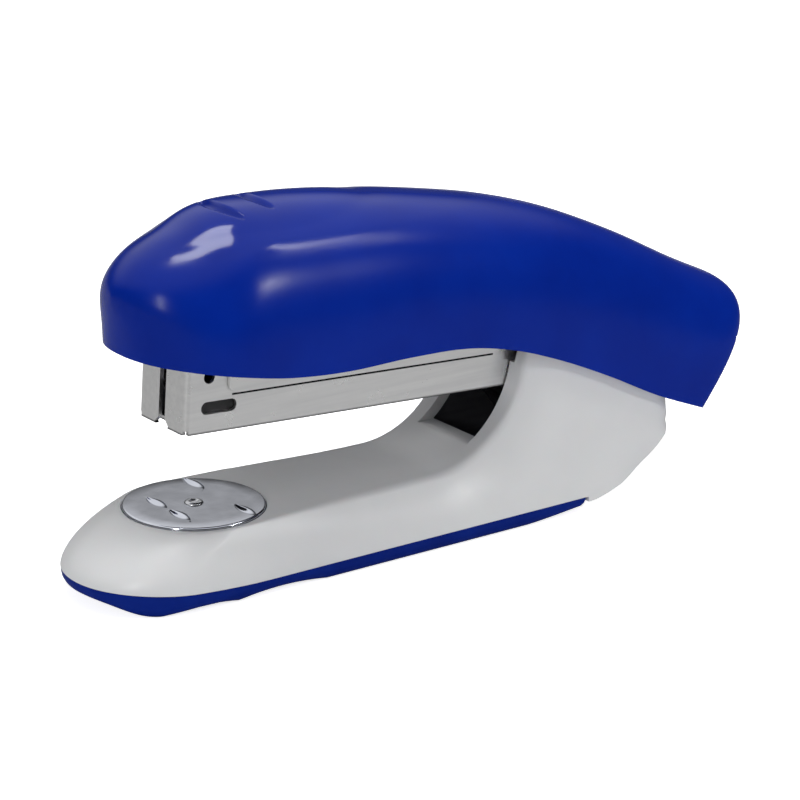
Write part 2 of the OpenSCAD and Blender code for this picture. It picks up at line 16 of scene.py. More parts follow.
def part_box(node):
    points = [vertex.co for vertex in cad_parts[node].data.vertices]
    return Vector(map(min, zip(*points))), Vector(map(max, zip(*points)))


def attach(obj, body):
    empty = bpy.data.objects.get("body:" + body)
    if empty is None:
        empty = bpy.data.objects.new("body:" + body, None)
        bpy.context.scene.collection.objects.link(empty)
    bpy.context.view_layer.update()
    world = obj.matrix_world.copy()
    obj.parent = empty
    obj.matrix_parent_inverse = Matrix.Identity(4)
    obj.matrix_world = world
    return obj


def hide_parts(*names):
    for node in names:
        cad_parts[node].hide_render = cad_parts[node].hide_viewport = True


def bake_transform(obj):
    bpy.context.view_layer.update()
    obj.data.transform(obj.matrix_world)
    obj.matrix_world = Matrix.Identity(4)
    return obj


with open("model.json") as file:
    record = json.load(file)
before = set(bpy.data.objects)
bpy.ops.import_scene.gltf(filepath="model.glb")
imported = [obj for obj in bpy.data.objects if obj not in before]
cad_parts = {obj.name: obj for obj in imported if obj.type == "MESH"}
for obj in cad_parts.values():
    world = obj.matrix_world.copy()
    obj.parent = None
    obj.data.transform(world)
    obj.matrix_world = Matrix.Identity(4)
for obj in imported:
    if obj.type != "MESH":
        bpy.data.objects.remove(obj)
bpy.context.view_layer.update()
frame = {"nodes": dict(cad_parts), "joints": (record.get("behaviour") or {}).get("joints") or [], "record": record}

# ---------- places taken from the frame ----------

MM = 0.001
JOINTS = {joint["name"]: joint for joint in frame["joints"]}
PIN = np.array(JOINTS["handle_swing"]["pos_m"]) / MM
PIN_U = 100.0  # the hinge pin, behind the front face of the channel
FRONT_X = PIN[0] - PIN_U
TILT = math.asin(-JOINTS["pusher_slide"]["axis"][2])
ANVIL_U = JOINTS["anvil_turn"]["pos_m"][0] / MM - FRONT_X
DISC_BOX = [np.array(corner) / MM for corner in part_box("anvil_disc")]
DISC_TOP = DISC_BOX[1][2]
DISC_R = (DISC_BOX[1][1] - DISC_BOX[0][1]) / 2
DISC_T = DISC_TOP - DISC_BOX[0][2]
ARM_TOP = DISC_TOP - 0.5


def from_front(points):
    """Points (u, y, z) in the row frame."""
    out = np.array(points, float)
    out[..., 0] += FRONT_X
    return out


def at_pin(points):
    """Points measured from the hinge pin, along the resting magazine, in the row frame."""
    p = np.asarray(points, float)
    x = p[..., 0] * math.cos(TILT) + p[..., 2] * math.sin(TILT)
    z = p[..., 2] * math.cos(TILT) - p[..., 0] * math.sin(TILT)
    return np.stack([x + PIN[0], p[..., 1], z + PIN[2]], axis=-1)


# ---------- small maths ----------


def smooth_step(low, high, value):
    t = np.clip((value - low) / (high - low), 0, 1)
    return t * t * (3 - 2 * t)


def curve_at(xs, values, x):
    """Smooth curve through stations, with the slope of each taken from its neighbours."""
    xs = np.asarray(xs, float)
    values = np.asarray(values, float)
    n = len(xs)
    i = int(np.clip(np.searchsorted(xs, x, side="left") - 1, 0, n - 2))

    def slope(k):
        a, b = max(k - 1, 0), min(k + 1, n - 1)
        return (values[b] - values[a]) / (xs[b] - xs[a])

    h = xs[i + 1] - xs[i]
    s = (x - xs[i]) / h
    return (
        (2 * s**3 - 3 * s * s + 1) * values[i]
        + (s**3 - 2 * s * s + s) * h * slope(i)
        + (3 * s * s - 2 * s**3) * values[i + 1]
        + (s**3 - s * s) * h * slope(i + 1)
    )


def arc(centre, r, start, end, steps):
    """Points of a circular arc, angles in degrees."""
    angles = np.radians(np.linspace(start, end, steps + 1))
    return [(centre[0] + r * math.cos(a), centre[1] + r * math.sin(a)) for a in angles]


# ---------- mesh tools ----------


def new_mesh(name, points, faces, sharp=35):
    """Object from row-frame millimetre points, with merged doubles and outward normals."""
    mesh = bpy.data.meshes.new(name)
    mesh.from_pydata([tuple(p) for p in np.asarray(points, float).reshape(-1, 3) * MM], [], faces)
    obj = bpy.data.objects.new(name, mesh)
    bpy.context.scene.collection.objects.link(obj)
    tidy_mesh(obj, sharp)
    return obj


def tidy_mesh(obj, sharp=35):
    bm = bmesh.new()
    bm.from_mesh(obj.data)
    bmesh.ops.remove_doubles(bm, verts=bm.verts, dist=2e-6)
    bmesh.ops.dissolve_degenerate(bm, edges=bm.edges, dist=1e-7)
    bmesh.ops.recalc_face_normals(bm, faces=bm.faces)
    bm.to_mesh(obj.data)
    bm.free()
    obj.data.shade_smooth()
    obj.data.set_sharp_from_angle(angle=math.radians(sharp))


def grid_faces(rows, cols, start=0, close=False):
    """Quads of a rows x cols grid of points; close joins the last column to the first."""
    last = cols if close else cols - 1
    return [
        (
            start + i * cols + j,
            start + (i + 1) * cols + j,
            start + (i + 1) * cols + (j + 1) % cols,
            start + i * cols + (j + 1) % cols,
        )
        for i in range(rows - 1)
        for j in range(last)
    ]


def slab_faces(n):
    """Faces that close two outlines of n points, which follow each other in the list of points."""
    faces = [(i, (i + 1) % n, n + (i + 1) % n, n + i) for i in range(n)]
    return faces + [tuple(range(n)), tuple(range(2 * n - 1, n - 1, -1))]


def prism(outline, half):
    """Side outline (u, z) spread to both sides of the middle plane."""
    points = [(u, side * half, z) for side in (-1, 1) for u, z in outline]
    return new_mesh("cutter", from_front(points), slab_faces(len(outline)))


def block(u0, u1, half, z0, z1):
    return prism([(u0, z0), (u1, z0), (u1, z1), (u0, z1)], half)


def plan_prism(outline, z0, z1):
    """Plan outline (u, y) between two heights."""
    points = [(u, y, z) for z in (z0, z1) for u, y in outline]
    return new_mesh("cutter", from_front(points), slab_faces(len(outline)))


def revolve(profile, axis_point, direction="z", steps=96):
    """Profile of (radius, height) turned about an axis; one that starts and ends at radius 0 is solid."""
    n = len(profile)
    ring = profile[0][0] > 0
    points = []
    for k in range(steps):
        a = 2 * math.pi * k / steps
        for r, h in profile:
            spoke = (r * math.cos(a), r * math.sin(a), h)
            points.append(spoke if direction == "z" else (spoke[0], h, spoke[1]))
    faces = grid_faces(steps, n, close=ring)
    last = (steps - 1) * n
    faces += [(last + j, j, (j + 1) % n, last + (j + 1) % n) for j in range(n if ring else n - 1)]
    return np.array(points) + np.array(axis_point), faces


def turned(name, profile, axis_point, direction="z", steps=96, sharp=35):
    points, faces = revolve(profile, axis_point, direction, steps)
    return new_mesh(name, points, faces, sharp)


def combine(obj, others, operation="DIFFERENCE", sharp=35):
    """Exact booleans of obj with the others, which are used up."""
    for other in others:
        modifier = obj.modifiers.new(operation.lower(), "BOOLEAN")
        modifier.operation = operation
        modifier.solver = "EXACT"
        modifier.object = other
    bpy.context.view_layer.update()
    graph = bpy.context.evaluated_depsgraph_get()
    result = bpy.data.meshes.new_from_object(obj.evaluated_get(graph))
    obj.modifiers.clear()
    obj.data = result
    for other in others:
        bpy.data.objects.remove(other)
    tidy_mesh(obj, sharp)
    return obj


def bevel(obj, width):
    modifier = obj.modifiers.new("bevel", "BEVEL")
    modifier.width = width * MM
    modifier.segments = 2
    modifier.limit_method = "ANGLE"
    modifier.angle_limit = math.radians(32)
    modifier.harden_normals = True
    modifier.use_clamp_overlap = True


def tube(path, radius, sides=10):
    """Closed round wire along a path of row-frame points."""
    path = np.asarray(path, float)
    n = len(path)
    ahead = np.gradient(path, axis=0)
    ahead /= np.linalg.norm(ahead, axis=1)[:, None]
    side = np.cross(ahead[0], (0.3, 0.9, 0.2))
    points = []
    for i in range(n):
        side = side - (side @ ahead[i]) * ahead[i]
        side /= np.linalg.norm(side)
        up = np.cross(ahead[i], side)
        for k in range(sides):
            a = 2 * math.pi * k / sides
            points.append(path[i] + radius * (math.cos(a) * side + math.sin(a) * up))
    faces = grid_faces(n, sides, close=True)
    faces += [tuple(range(sides)), tuple(range(n * sides - 1, (n - 1) * sides - 1, -1))]
    return np.array(points), faces


def helix(r, rise, turns, steps=28, closed_ends=0.6):
    """Path of a compression spring along z from 0 to rise, with closed end coils."""
    n = int(turns * steps)
    t = np.linspace(0, 1, n + 1)
    share = closed_ends / turns
    height = np.clip((t - share) / (1 - 2 * share), 0, 1)
    pitch_of_end = 0.02 * rise
    z = pitch_of_end * np.minimum(t / share, 1) + (rise - 2 * pitch_of_end) * height
    z += pitch_of_end * np.clip((t - 1 + share) / share, 0, 1)
    a = 2 * math.pi * turns * t
    return np.stack([r * np.cos(a), r * np.sin(a), z], axis=-1)


# ---------- materials ----------


def linear(r, g, b):
    """Screen colour, 0 to 255, as linear light."""

    def channel(value):
        c = value / 255
        return c / 12.92 if c <= 0.04045 else ((c + 0.055) / 1.055) ** 2.4

    return (channel(r), channel(g), channel(b), 1)


class Nodes:
    """Thin wrapper that adds nodes to a tree and links them."""

    def __init__(self, tree):
        self.tree = tree

    def feed(self, socket, value):
        """Links the input to another node's output, or gives it a fixed value."""
        if isinstance(value, bpy.types.NodeSocket):
            self.tree.links.new(value, socket)
        else:
            socket.default_value = value

    def add(self, kind, **inputs):
        """New node; an underscore in an input's name stands for a space."""
        node = self.tree.nodes.new(kind)
        for key, value in inputs.items():
            self.feed(node.inputs[key.replace("_", " ")], value)
        return node

    def operate(self, kind, operation, *values):
        """Arithmetic node of a kind, fed in the order of its inputs."""
        node = self.add(kind)
        node.operation = operation
        for socket, value in zip(node.inputs, values):
            self.feed(socket, value)
        return node.outputs

    def math(self, operation, *values):
        return self.operate("ShaderNodeMath", operation, *values)["Value"]

    def spread(self, value, low, high, source=(0.3, 0.7)):
        """Maps the source range onto low to high, and clamps beyond it."""
        node = self.add("ShaderNodeMapRange", Value=value, From_Min=source[0], From_Max=source[1],
                        To_Min=low, To_Max=high)
        return node.outputs["Result"]

    def choose(self, where, otherwise, chosen):
        """Number that changes from one value to the other as where goes from 0 to 1."""
        node = self.add("ShaderNodeMix", Factor=where)
        self.feed(node.inputs[2], otherwise)
        self.feed(node.inputs[3], chosen)
        return node.outputs[0]

    def mix(self, factor, first, second):
        """Colour that changes from first to second as the factor goes from 0 to 1."""
        node = self.add("ShaderNodeMix")
        node.data_type = "RGBA"
        self.feed(node.inputs[0], factor)
        self.feed(node.inputs[6], first)
        self.feed(node.inputs[7], second)
        return node.outputs[2]


class Finish(Nodes):
    """A material and the nodes that feed its surface."""

    def __init__(self, name):
        self.material = bpy.data.materials.new(name)
        self.material.use_nodes = True
        super().__init__(self.material.node_tree)
        self.surface = self.tree.nodes["Principled BSDF"]

    def shade(self, **inputs):
        for key, value in inputs.items():
            self.feed(self.surface.inputs[key.replace("_", " ")], value)

    def place(self):
        return self.add("ShaderNodeTexCoord").outputs["Object"]

    def height(self):
        return self.add("ShaderNodeSeparateXYZ", Vector=self.place()).outputs["Z"]

    def stretched(self, scale):
        return self.add("ShaderNodeMapping", Vector=self.place(), Scale=scale).outputs["Vector"]

    def noise(self, scale, detail=3, where=None, roughness=0.5):
        node = self.add("ShaderNodeTexNoise", Scale=scale, Detail=detail, Roughness=roughness,
                        Vector=where or self.place())
        return node.outputs["Fac"]

    def along(self, direction):
        """Distance from the hinge pin along a direction."""
        from_pin = self.operate("ShaderNodeVectorMath", "SUBTRACT", self.place(), tuple(PIN * MM))
        return self.operate("ShaderNodeVectorMath", "DOT_PRODUCT", from_pin["Vector"], direction)["Value"]

    def band(self, value, start, end, soft):
        """1 between two distances in millimetres, and 0 beyond the soft borders."""
        rising = self.spread(value, 0, 1, ((start - soft) * MM, start * MM))
        falling = self.spread(value, 1, 0, (end * MM, (end + soft) * MM))
        return self.math("MULTIPLY", rising, falling)

    def bump(self, value, strength, distance, normal=None):
        node = self.add("ShaderNodeBump", Height=value, Strength=strength, Distance=distance * MM)
        if normal is not None:
            self.feed(node.inputs["Normal"], normal)
        return node.outputs["Normal"]


def moulded_blue():
    """Glossy crown, satin flanks, with the fine unevenness of a moulded skin."""
    n = Finish("handle_blue")
    tone = n.spread(n.noise(60, 4), 0, 1)
    n.shade(Base_Color=n.mix(tone, linear(0, 33, 136), linear(0, 39, 148)))
    polish = n.spread(n.height(), 0.2, 0.09, source=(0.0616, 0.0626))
    n.shade(Roughness=n.math("MULTIPLY_ADD", n.noise(900, 2), 0.06, polish))
    n.shade(Specular_IOR_Level=n.spread(n.height(), 0.1, 0.2, source=(0.052, 0.063)))
    grain = n.bump(n.noise(2600, 2), 0.05, 0.05)
    n.shade(Normal=n.bump(n.noise(110, 2), 0.05, 0.25, grain))
    return n


def moulded_grey():
    """Satin shell of the base, which lets a little light in."""
    n = Finish("shell_grey")
    tone = n.spread(n.noise(40, 3), 0, 1)
    n.shade(Base_Color=n.mix(tone, linear(214, 215, 217), linear(222, 223, 224)))
    n.shade(Roughness=n.spread(n.noise(700, 2), 0.3, 0.38), Specular_IOR_Level=0.45)
    grain = n.bump(n.noise(3200, 2), 0.06, 0.05)
    n.shade(Normal=n.bump(n.noise(90, 2), 0.04, 0.2, grain))
    n.shade(Subsurface_Weight=0.05, Subsurface_Scale=0.002)
    return n


def soft_blue():
    """Dull elastomer of the pad."""
    n = Finish("pad_blue")
    tone = n.spread(n.noise(120, 5), 0, 1)
    n.shade(Base_Color=n.mix(tone, linear(0, 29, 118), linear(2, 36, 130)))
    n.shade(Roughness=n.spread(n.noise(500, 3), 0.42, 0.6), Specular_IOR_Level=0.07)
    n.shade(Normal=n.bump(n.noise(1800, 3), 0.12, 0.08))
    return n


def sheet_steel(name, light, dark, rough, grain, streak=None, metal=1.0):
    """Rolled sheet: faint streaks along the strip, cloudy plating, small pits."""
    n = Finish(name)
    lines = n.noise(1.0, 3, n.stretched(streak or ROLLED), 0.6)
    cloud = n.noise(160, 4)
    tone = n.mix(n.spread(lines, 0, 1), linear(*dark), linear(*light))
    n.shade(Base_Color=n.mix(n.spread(cloud, 0, 0.35), tone, linear(*light)))
    n.shade(Metallic=metal, Roughness=n.spread(cloud, rough, rough + 0.1))
    n.shade(Normal=n.bump(lines, grain, 0.03, n.bump(n.noise(1500, 2), grain, 0.03)))
    return n


# The strip that straps the magazine, and the fold to the channel's floor, from the pin
STRAP_FRONT, STRAP_BACK, STRAP_EDGE = -89.8, -31.0, -2.05
FOLD_LEVEL = -9.0


def channel_steel():
    """Plated sheet of the magazine, with shade painted darker into its seams.

    The painted shade lies in a thin line below the strip that straps the channel, below the fold to the channel's
    floor, and along the run into the base. All are measured from the pin, up from and along the magazine.
    """
    n = sheet_steel("channel_nickel", (248, 248, 247), (236, 236, 236), 0.26, 0.02)
    level = n.along((math.sin(TILT), 0, math.cos(TILT)))
    back = n.along((math.cos(TILT), 0, -math.sin(TILT)))
    strap = n.band(back, STRAP_FRONT, STRAP_BACK, 0.12)
    # painted shadow: a thin dark line just below the strap's lower edge, where the strap shades the channel
    below = n.band(level, STRAP_EDGE - 0.6, STRAP_EDGE - 0.3, 0.08)
    # painted shade: darker below the fold, over the channel's floor
    fold = n.spread(level, 1, 0, (FOLD_LEVEL * MM, (FOLD_LEVEL + 0.4) * MM))
    # painted shade: darker towards the rear, where the channel runs in under the handle and into the base
    run = n.spread(back, 0, 0.5, ((STRAP_BACK + 2) * MM, (STRAP_BACK + 7) * MM))
    shade = n.surface.inputs["Base Color"].links[0].from_socket
    # the painted shadow under the strap, then the painted shade below the fold and towards the rear, darken the
    # plating's colour in turn
    shade = n.mix(n.math("MULTIPLY", strap, below), shade, linear(40, 40, 42))
    shade = n.mix(fold, shade, linear(58, 58, 60))
    n.shade(Base_Color=n.mix(run, shade, linear(90, 90, 92)))
    return n


def plated_disc():
    """Bright plating over a blank that was turned, so its grain runs in rings."""
    n = Finish("anvil_plating")
    centre = from_front([ANVIL_U, 0, 0]) * MM
    shifted = n.add("ShaderNodeMapping", Vector=n.place(), Location=tuple(-centre))
    rings = n.add("ShaderNodeTexWave", Vector=shifted.outputs["Vector"], Scale=900, Distortion=1.5)
    rings.wave_type = "RINGS"
    rings.rings_direction = "Z"
    cloud = n.noise(240, 4)
    n.shade(Base_Color=n.mix(n.spread(cloud, 0, 1), linear(176, 179, 188), linear(194, 197, 206)))
    n.shade(Metallic=1.0, Roughness=n.spread(cloud, 0.1, 0.17))
    n.shade(Normal=n.bump(rings.outputs["Fac"], 0.03, 0.02, n.bump(n.noise(420, 2), 0.05, 0.05)))
    return n


def dark_plastic():
    """Matt acetal of the follower and the knob."""
    n = Finish("black_acetal")
    n.shade(Base_Color=n.mix(n.spread(n.noise(200, 3), 0, 1), linear(22, 22, 24), linear(36, 36, 38)))
    n.shade(Roughness=n.spread(n.noise(800, 2), 0.4, 0.55))
    n.shade(Normal=n.bump(n.noise(2400, 2), 0.1, 0.05))
    return n


# Scales of the streaks: along a strip, and the same in every direction for wire and turned parts
ROLLED, EVEN, FINE = (40, 900, 900), (300, 300, 300), (200, 200, 200)
MATERIALS = {
    "blue_gloss": moulded_blue(),
    "grey_plastic": moulded_grey(),
    "blue_rubber": soft_blue(),
    "black_plastic": dark_plastic(),
    "nickel_steel": channel_steel(),
    "zinc_steel": sheet_steel("zinc_sheet", (190, 191, 194), (172, 173, 177), 0.34, 0.08),
    "screw_steel": sheet_steel("plated_steel", (188, 189, 192), (168, 169, 173), 0.24, 0.04, EVEN),
    "spring_steel": sheet_steel("oiled_spring", (128, 128, 132), (104, 104, 108), 0.26, 0.05, FINE),
    # dark sheet of the frame; behind the window its cheeks also stand in as painted shade for the dark bay
    "black_steel": sheet_steel("dark_sheet_and_bay_shade", (92, 92, 98), (78, 78, 84), 0.4, 0.05, metal=0.2),
    "anvil_chrome": plated_disc(),
}
SLOT_OF = {part["node"]: part["material_slot"] for part in frame["record"]["subparts"]}


def paint(obj, slot_name):
    obj.data.materials.clear()
    obj.data.materials.append(MATERIALS[slot_name].material)


def finish_piece(obj, node, *bodies, ends=None):
    """Gives a new piece its finish and attaches it to its body; with two bodies, only bakes its place into its
    mesh, and the ends are not used.
    """
    obj.name = node + "_look"
    obj.data.name = obj.name
    paint(obj, SLOT_OF[node])
    if len(bodies) == 2:
        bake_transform(obj)
    else:
        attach(obj, bodies[0])
    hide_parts(node)
    return obj


# ---------- handle cover ----------

# Stations along the handle: station, rim u, rim z, lean in degrees, height, half width, squareness
COVER_LAW = [
    (-8.4, -8.4, 44.6, 0, 23.6, 16.5, 2.1),
    (-2, -2, 43.8, 0, 24.5, 17.6, 2.2),
    (6, 6, 42.5, 0, 26.2, 18.1, 2.2),
    (16, 16, 40.7, 0, 27.9, 18.2, 2.3),
    (28, 28, 39.6, 1, 28.5, 18, 2.3),
    (42, 42, 39.4, 4, 27.1, 17.5, 2.4),
    (56, 55, 38.6, 9, 25.6, 17.1, 2.4),
    (68, 66, 36.3, 15, 25.5, 17, 2.4),
    (80, 77.5, 32.2, 21, 26, 17, 2.5),
    (92, 90, 26.6, 27, 26.2, 17, 2.6),
    (104, 102, 20.6, 33, 26.2, 17, 2.9),
    (116, 114.2, 15.6, 38, 26, 17, 3.2),
]
COVER_L = [station[0] for station in COVER_LAW]
COVER_START, COVER_END = COVER_L[0], COVER_L[-1]
COVER_WALL = 2.0
COVER_COLS = 160
# Grip grooves on the crown: u, bend, reach across, half width, depth
GROOVES = [(11.1, 0.045, 6.8, 1.3, 1.15), (18.7, 0.045, 5.6, 1.3, 1.15)]
GROOVE_ZONE = (9.3, 21.6)
# The round of the nose and the tail in plan and in height: lengths along the handle
NOSE_PLAN, NOSE_DROP, TAIL_PLAN, TAIL_DROP = 20, 26, 4, 5
# Room in the tail for the uprights when the handle is lifted: half width, span behind the pin, slope
TAIL_ROOM_HALF, TAIL_ROOM, TAIL_ROOM_SLOPE = 15.4, (5, 40), math.tan(math.radians(12))
# Screw bosses inside the cover: x from the pin, foot height, length
BOSSES = [(-72, 16.48, 13.3), (-30, 12.66, 12.3)]
BOSS_R, SCREW_R = 2.6, 1.1


def round_off(q, power, limit=0.985):
    """Falls from 1 along the quarter of an oval as q goes from 0 to 1."""
    return (1 - (limit * min(max(q, 0), 1)) ** power) ** (1 / power)


def ease(q, power, low):
    """The same fall, but only down to a low value."""
    return low + (1 - low) * round_off(q, power)


def cover_section(l, inset):
    """One arch of the cover at station l, from one rim over the crown to the other."""
    rim_u, rim_z, lean, height, width, square = [
        curve_at(COVER_L, [station[k] for station in COVER_LAW], l) for k in range(1, 7)
    ]
    from_nose, to_tail = l - COVER_START, COVER_END - l
    width *= round_off(1 - from_nose / NOSE_PLAN, 2.3, 1) * ease(1 - to_tail / TAIL_PLAN, 2.4, 0.97)
    height *= ease(1 - from_nose / NOSE_DROP, 2.3, 0.3) * ease(1 - to_tail / TAIL_DROP, 2.2, 0.88)
    share = np.linspace(-1, 1, COVER_COLS + 1)
    t = math.pi / 2 * np.sign(share) * np.abs(share) ** 1.15
    y = (width - inset) * np.sign(np.sin(t)) * np.abs(np.sin(t)) ** (2 / square)
    v = (height - inset) * np.abs(np.cos(t)) ** (2 / square)
    a = math.radians(lean)
    return np.stack([rim_u + v * math.sin(a), y, rim_z + v * math.cos(a)], axis=-1)


def cover_stations(inset):
    """Stations close together over the grooves and at both ends."""
    first, last = COVER_START + inset, COVER_END - inset
    near = first + (9 - first) * (1 - np.cos(np.linspace(0, math.pi / 2, 36)))
    groove = np.arange(*GROOVE_ZONE, 0.3)
    middle = np.arange(22, 100, 1.2)
    tail = 101 + (last - 101) * np.sin(np.linspace(0, math.pi / 2, 24))
    return np.concatenate([near, groove, middle, tail])


def crown_relief(points):
    """Height added to the crown: a low thumb pad with a soft border, a valley before it, grooves."""
    u, y, z = points[..., 0], points[..., 1], points[..., 2]
    on_top = smooth_step(50, 58, z)
    pad_u, pad_half_length, pad_half_width = 20, 23.5, 10
    edge = np.sqrt(((u - pad_u) / pad_half_length) ** 2 + (y / pad_half_width) ** 2)
    relief = 0.4 * np.clip(1 - edge**2, 0, 1) - 0.12 * np.exp(-(((edge - 1) / 0.16) ** 2))
    relief = relief - 0.95 * np.exp(-(((u - 3.2) / 5) ** 2) - (y / 14) ** 2)
    for u0, bend, reach, half, depth in GROOVES:
        along = np.clip(1 - (np.abs(y) / reach) ** 2.5, 0, 1)
        across = np.abs(u - u0 - bend * y * y) / (half * np.sqrt(along) + 0.05)
        relief = relief - depth * along**0.5 * np.clip(1 - across**2, 0, 1) ** 1.5
    return relief * on_top


def nose_bulge(points):
    """The nose stands slightly forward of its rim at mid height."""
    ahead = smooth_step(6, -8, points[..., 0])
    return -1.7 * ahead * np.exp(-(((points[..., 2] - 56) / 6.5) ** 2))


def outward(grid):
    """Unit normals of a grid of points, on the side that faces up."""
    normal = np.cross(np.gradient(grid, axis=0), np.gradient(grid, axis=1))
    normal /= np.linalg.norm(normal, axis=-1)[..., None] + 1e-12
    return normal * np.sign(normal[..., 2:3] + 1e-6)


def join_skins(outer, inner):
    """Closed solid between two open arches: both skins, the rims and the tail."""
    rows, cols = outer.shape[:2]
    inner_rows = inner.shape[0]
    points = np.concatenate([outer.reshape(-1, 3), inner.reshape(-1, 3)])
    n = rows * cols
    faces = grid_faces(rows, cols) + grid_faces(inner_rows, cols, start=n)
    last_out = [(rows - 1) * cols + j for j in range(cols)]
    last_in = [n + (inner_rows - 1) * cols + j for j in range(cols)]
    faces.append(tuple(last_out))
    faces.append(tuple(last_in))
    for side in (0, cols - 1):
        out_edge = [i * cols + side for i in range(rows)]
        in_edge = [n + i * cols + side for i in range(inner_rows)]
        faces += [(a, b, d, c) for a, b, c, d in zip(out_edge, out_edge[1:], in_edge, in_edge[1:])]
    faces.append((last_out[0], last_out[-1], last_in[-1], last_in[0]))
    return new_mesh("cover", from_front(points), faces, 50)


def screw_boss(x, foot, length):
    """Tube for a screw, upright to the magazine."""
    place = at_pin([x, 0, foot])
    wall = [(SCREW_R, 0), (BOSS_R, 0), (BOSS_R, length), (SCREW_R, length)]
    boss = turned("boss", wall, place, steps=40)
    p = Vector(place * MM)
    boss.data.transform(Matrix.Translation(p) @ Matrix.Rotation(TILT, 4, "Y") @ Matrix.Translation(-p))
    return boss


def handle_cover():
    outer = np.array([cover_section(l, 0) for l in cover_stations(0)])
    outer = outer + outward(outer) * crown_relief(outer)[..., None]
    outer[..., 0] += nose_bulge(outer)
    inner = np.array([cover_section(l, COVER_WALL) for l in cover_stations(COVER_WALL)])
    inner[..., 0] += 0.7 * nose_bulge(inner)
    cover = join_skins(outer, inner)
    start, end = TAIL_ROOM
    room = [(PIN_U + start, 0), (PIN_U + end, 0)]
    room += [(PIN_U + x, PIN[2] - x * TAIL_ROOM_SLOPE) for x in (end, start)]
    combine(cover, [prism(room, TAIL_ROOM_HALF)], sharp=50)
    combine(cover, [screw_boss(*boss) for boss in BOSSES], "UNION", sharp=50)
    return finish_piece(cover, "handle_cover", "handle")


# ---------- base ----------

SWEEP_CENTRE = (52.5, ARM_TOP + 20.2)
SWEEP_R = 20.6
BASE_WALL = 2.2
SEAM_Z = 3.1
BASE_HALF = 16.3
NOSE_CENTRE_U = -2.3
NOSE_TOP_R = 13.9
ARM_START_U = 24
PAD_END_U = 86.0
KEEL_START_U = PAD_END_U + 0.15
ARM_END_U = 52
# Rows round the nose and along the start of the arm; points down a side, over the edge, over the top
NOSE_ROWS, ARM_ROWS = 36, 9
SIDE_STEPS, EDGE_STEPS, TOP_STEPS = 22, 5, 8


def seam_height(u):
    """The seam between pad and shell climbs towards the nose."""
    return SEAM_Z + 1.5 * smooth_step(12, -18, u)


def upper_profile():
    """Middle-plane outline behind the disc: arm, hollow front wall, top, rear.

    The third number is how far back the side line that starts there meets the lower edge.
    """
    arm = [(u, ARM_TOP - 0.4 * smooth_step(20, 48, u), u) for u in range(ARM_START_U, 49, 6)]
    sweep = arc(SWEEP_CENTRE, SWEEP_R, -90, -8, 36)
    front = [(u, z, 52.5 + 29.5 * k / 36) for k, (u, z) in enumerate(sweep)]
    lean = [(73.6, 33, 82.6), (74.4, 35, 83.6), (75.5, 37.2, 84.6), (76.8, 38.9, 85.6), (78.5, 40, 86.1)]
    top = [(80.5, 40.4, 86.25), (83, 40.5, 87.2), (86, 40.5, 88.4), (89.5, 40.5, 89.8), (93, 40.3, 91.2)]
    shoulder = [(u, z, 92.5 + 0.65 * k) for k, (u, z) in enumerate(arc((98.4, 34.2), 6, 80, 8, 12))]
    rear = [(105.1, 32, 101), (105.9, 28.6, 102), (106.8, 25, 103.2)]
    rear += [(107.7, 20, 104.6), (108.2, 16.5, 105.8)]
    foot = [(u, z, 106.4 + 0.2 * k) for k, (u, z) in enumerate(arc((106.3, 14.8), 2.1, 10, -32, 5))]
    return arm + front + lean + top + shoulder + rear + foot


def lower_edge(u):
    """Height of the lower edge: the pad's seam, then a rise towards the rear face."""
    if u < ARM_END_U:
        return seam_height(u)
    if u < KEEL_START_U:
        return SEAM_Z
    stations = [86.2, 88, 90.5, 94.3, 97, 99.8, 102.3, 104.8, 106.4, 107.6]
    return float(np.interp(u, stations, [2, 2.1, 2.7, 3.9, 5.1, 6.5, 7.8, 9.6, 11.2, 12.8]))


def keel(u):
    """Height of the underside between the two lower edges."""
    if u < KEEL_START_U:
        return SEAM_Z
    stations = [86.2, 92, 98, 101.5, 104.5, 106.6, 107.6]
    return float(np.interp(u, stations, [2, 1.95, 3, 3.6, 4.6, 7.2, 9.4]))


def crease_half(u, z):
    """Half width of the upper edge."""
    if u < 74:
        return curve_at([6, 20, 45, 62, 74], [13.9, 13.3, 11.4, 11.3, 12.1], u)
    return curve_at([74, 80, 92, 104, 109], [12.1, 12.1, 12, 12.6, 12.8], u)


def side_half(u, z, crease, gap, softness):
    """Half width of the side, from its distance to the upper edge and its height."""
    middle = 14.6
    rise = 1 - (1 - min(gap / softness, 1)) ** 1.8
    flare = max((16 - z) / (16 - SEAM_Z), 0) ** 1.3
    spread = (BASE_HALF - middle) * (1 - 0.75 * smooth_step(94, 102, u))
    return crease + (middle - crease) * rise + spread * min(flare, 1)


def row_ends(profile, low_us):
    """For each row: crease point, foot and hub in plan, edge radius, and its place in the profile."""
    ends = []
    for k in range(NOSE_ROWS + 1):
        theta = math.pi - (math.pi / 2) * k / NOSE_ROWS
        crease = (ANVIL_U + NOSE_TOP_R * math.cos(theta), NOSE_TOP_R * math.sin(theta), ARM_TOP)
        foot = (NOSE_CENTRE_U + BASE_HALF * math.cos(theta), BASE_HALF * math.sin(theta))
        ends.append((crease, foot, (ANVIL_U, 0.0), 0.55, None))
    for k in range(1, ARM_ROWS):
        u = ANVIL_U + (ARM_START_U - ANVIL_U) * k / ARM_ROWS
        foot_u = NOSE_CENTRE_U + (ARM_START_U - NOSE_CENTRE_U) * k / ARM_ROWS
        crease = (u, crease_half(u, ARM_TOP), ARM_TOP)
        ends.append((crease, (foot_u, BASE_HALF), (u, 0.0), 0.55 + 0.04 * k, None))
    for i, ((u, z), low_u) in enumerate(zip(profile, low_us)):
        ends.append(((u, crease_half(u, z), z), (low_u, BASE_HALF), (u, 0.0), 1.2, i))
    return ends


